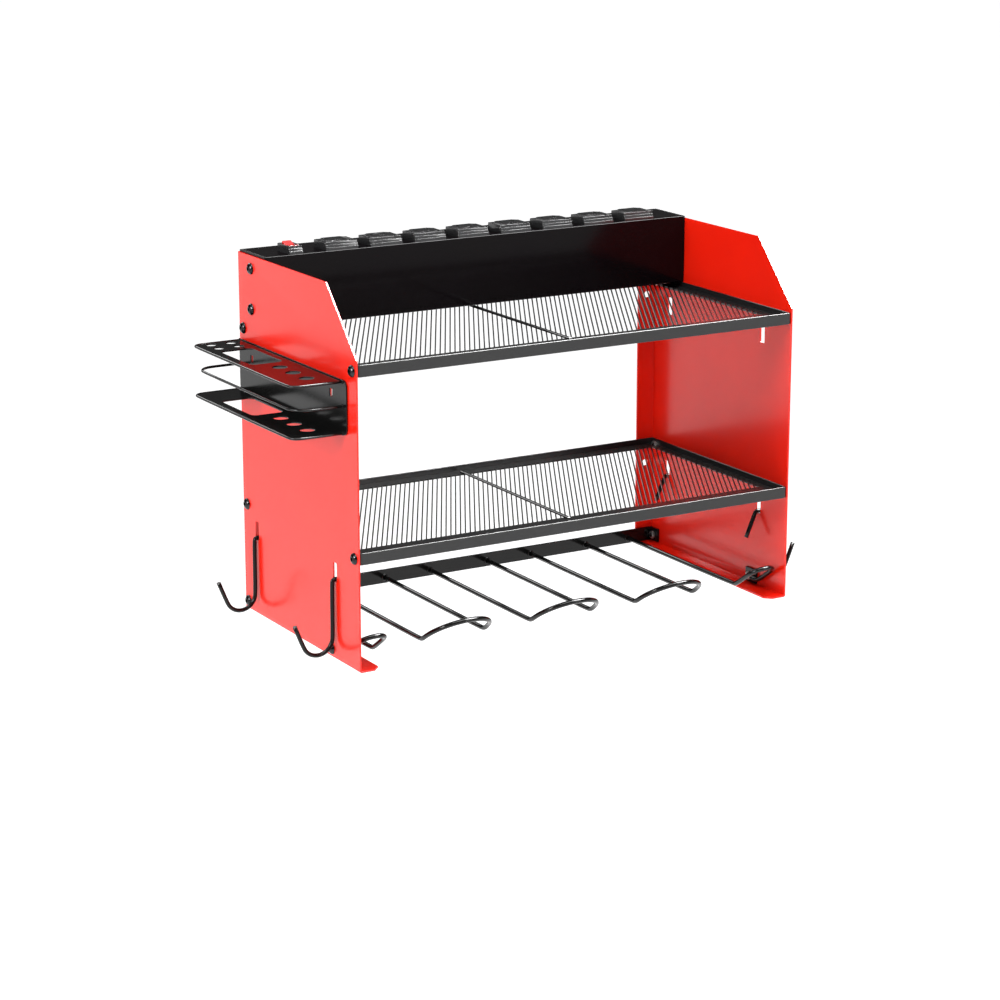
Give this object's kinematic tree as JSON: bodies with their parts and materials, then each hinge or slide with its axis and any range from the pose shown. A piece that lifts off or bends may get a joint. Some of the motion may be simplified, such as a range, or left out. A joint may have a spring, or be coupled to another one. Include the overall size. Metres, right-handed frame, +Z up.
{
  "type": "wall mounted power tool organizer",
  "caption": "Wall rack with mesh shelves, a built-in power strip, looped holders for hanging drills, swinging side hooks and a lift-off side rack for hand tools.",
  "frame": {"origin": "middle of the wall screw holes, on the wall plane", "axes": "+X to the right seen from the front, +Y into the wall, +Z up"},
  "size_m": [0.5302, 0.2225, 0.337],
  "materials": {
    "panel_paint": "gloss red powder coat",
    "shelf_paint": "semi gloss black powder coat",
    "strip_paint": "gloss black",
    "outlet_plastic": "satin black",
    "rocker_plastic": "gloss red",
    "carrier_plastic": "matte black",
    "contact_brass": "plain",
    "gland_plastic": "matte black",
    "rod_paint": "gloss black",
    "hook_paint": "gloss black",
    "rack_paint": "gloss black",
    "screw_black": "black oxide",
    "nut_zinc": "zinc"
  },
  "bodies": {
    "frame": {"left_side_panel": "panel_paint", "right_side_panel": "panel_paint", "upper_shelf_frame": "shelf_paint", "lower_shelf_frame": "shelf_paint", "upper_shelf_mesh": "shelf_paint", "lower_shelf_mesh": "shelf_paint", "upper_shelf_rib": "shelf_paint", "lower_shelf_rib": "shelf_paint", "strip_housing": "strip_paint", "strip_back_cover": "strip_paint", "strip_end_cap_left": "strip_paint", "strip_end_cap_right": "strip_paint", "outlet_blocks": "outlet_plastic", "switch_block": "outlet_plastic", "contact_carrier": "carrier_plastic", "live_busbar": "contact_brass", "neutral_busbar": "contact_brass", "earth_busbar": "contact_brass", "switch_terminals": "contact_brass", "cord_gland": "gland_plastic", "drill_rail": "rod_paint", "holder_lugs": "rod_paint", "drill_holder_1": "rod_paint", "drill_holder_2": "rod_paint", "drill_holder_3": "rod_paint", "drill_holder_4": "rod_paint", "drill_holder_5": "rod_paint", "shelf_screws": "screw_black", "strip_screws": "screw_black", "drill_rack_screws": "screw_black", "shelf_nuts": "nut_zinc", "strip_nuts": "nut_zinc", "drill_rack_nuts": "nut_zinc"},
    "rocker": {"rocker_switch": "rocker_plastic"},
    "hook_left_front_body": {"hook_left_front": "hook_paint"},
    "hook_left_rear_body": {"hook_left_rear": "hook_paint"},
    "hook_right_front_body": {"hook_right_front": "hook_paint"},
    "hook_right_rear_body": {"hook_right_rear": "hook_paint"},
    "side_rack": {"rack_back_plate": "rack_paint", "rack_top_plate": "rack_paint", "rack_bottom_plate": "rack_paint", "rack_wire_top": "rack_paint", "rack_wire_middle": "rack_paint", "rack_wire_bottom": "rack_paint"}
  },
  "joints": [
    {"name": "rocker_tilt", "type": "hinge", "parent": "frame", "child": "rocker", "pos_m": [-0.1864, -0.03635, 0.1682], "axis": [1, 0, 0], "range_deg": [-16, 0]},
    {"name": "side_rack_lift", "type": "slide", "parent": "frame", "child": "side_rack", "axis": [0, 0, 1], "range_m": [0, 0.0044]},
    {"name": "hook_left_front_swing", "type": "hinge", "parent": "frame", "child": "hook_left_front_body", "pos_m": [-0.21925, -0.179, -0.09335], "axis": [0, 1, 0], "range_deg": [0, 18]},
    {"name": "hook_left_rear_swing", "type": "hinge", "parent": "frame", "child": "hook_left_rear_body", "pos_m": [-0.21925, -0.028, -0.09335], "axis": [0, 1, 0], "range_deg": [0, 18]},
    {"name": "hook_right_front_swing", "type": "hinge", "parent": "frame", "child": "hook_right_front_body", "pos_m": [0.21925, -0.179, -0.09335], "axis": [0, -1, 0], "range_deg": [0, 18]},
    {"name": "hook_right_rear_swing", "type": "hinge", "parent": "frame", "child": "hook_right_rear_body", "pos_m": [0.21925, -0.028, -0.09335], "axis": [0, -1, 0], "range_deg": [0, 18]}
  ]
}
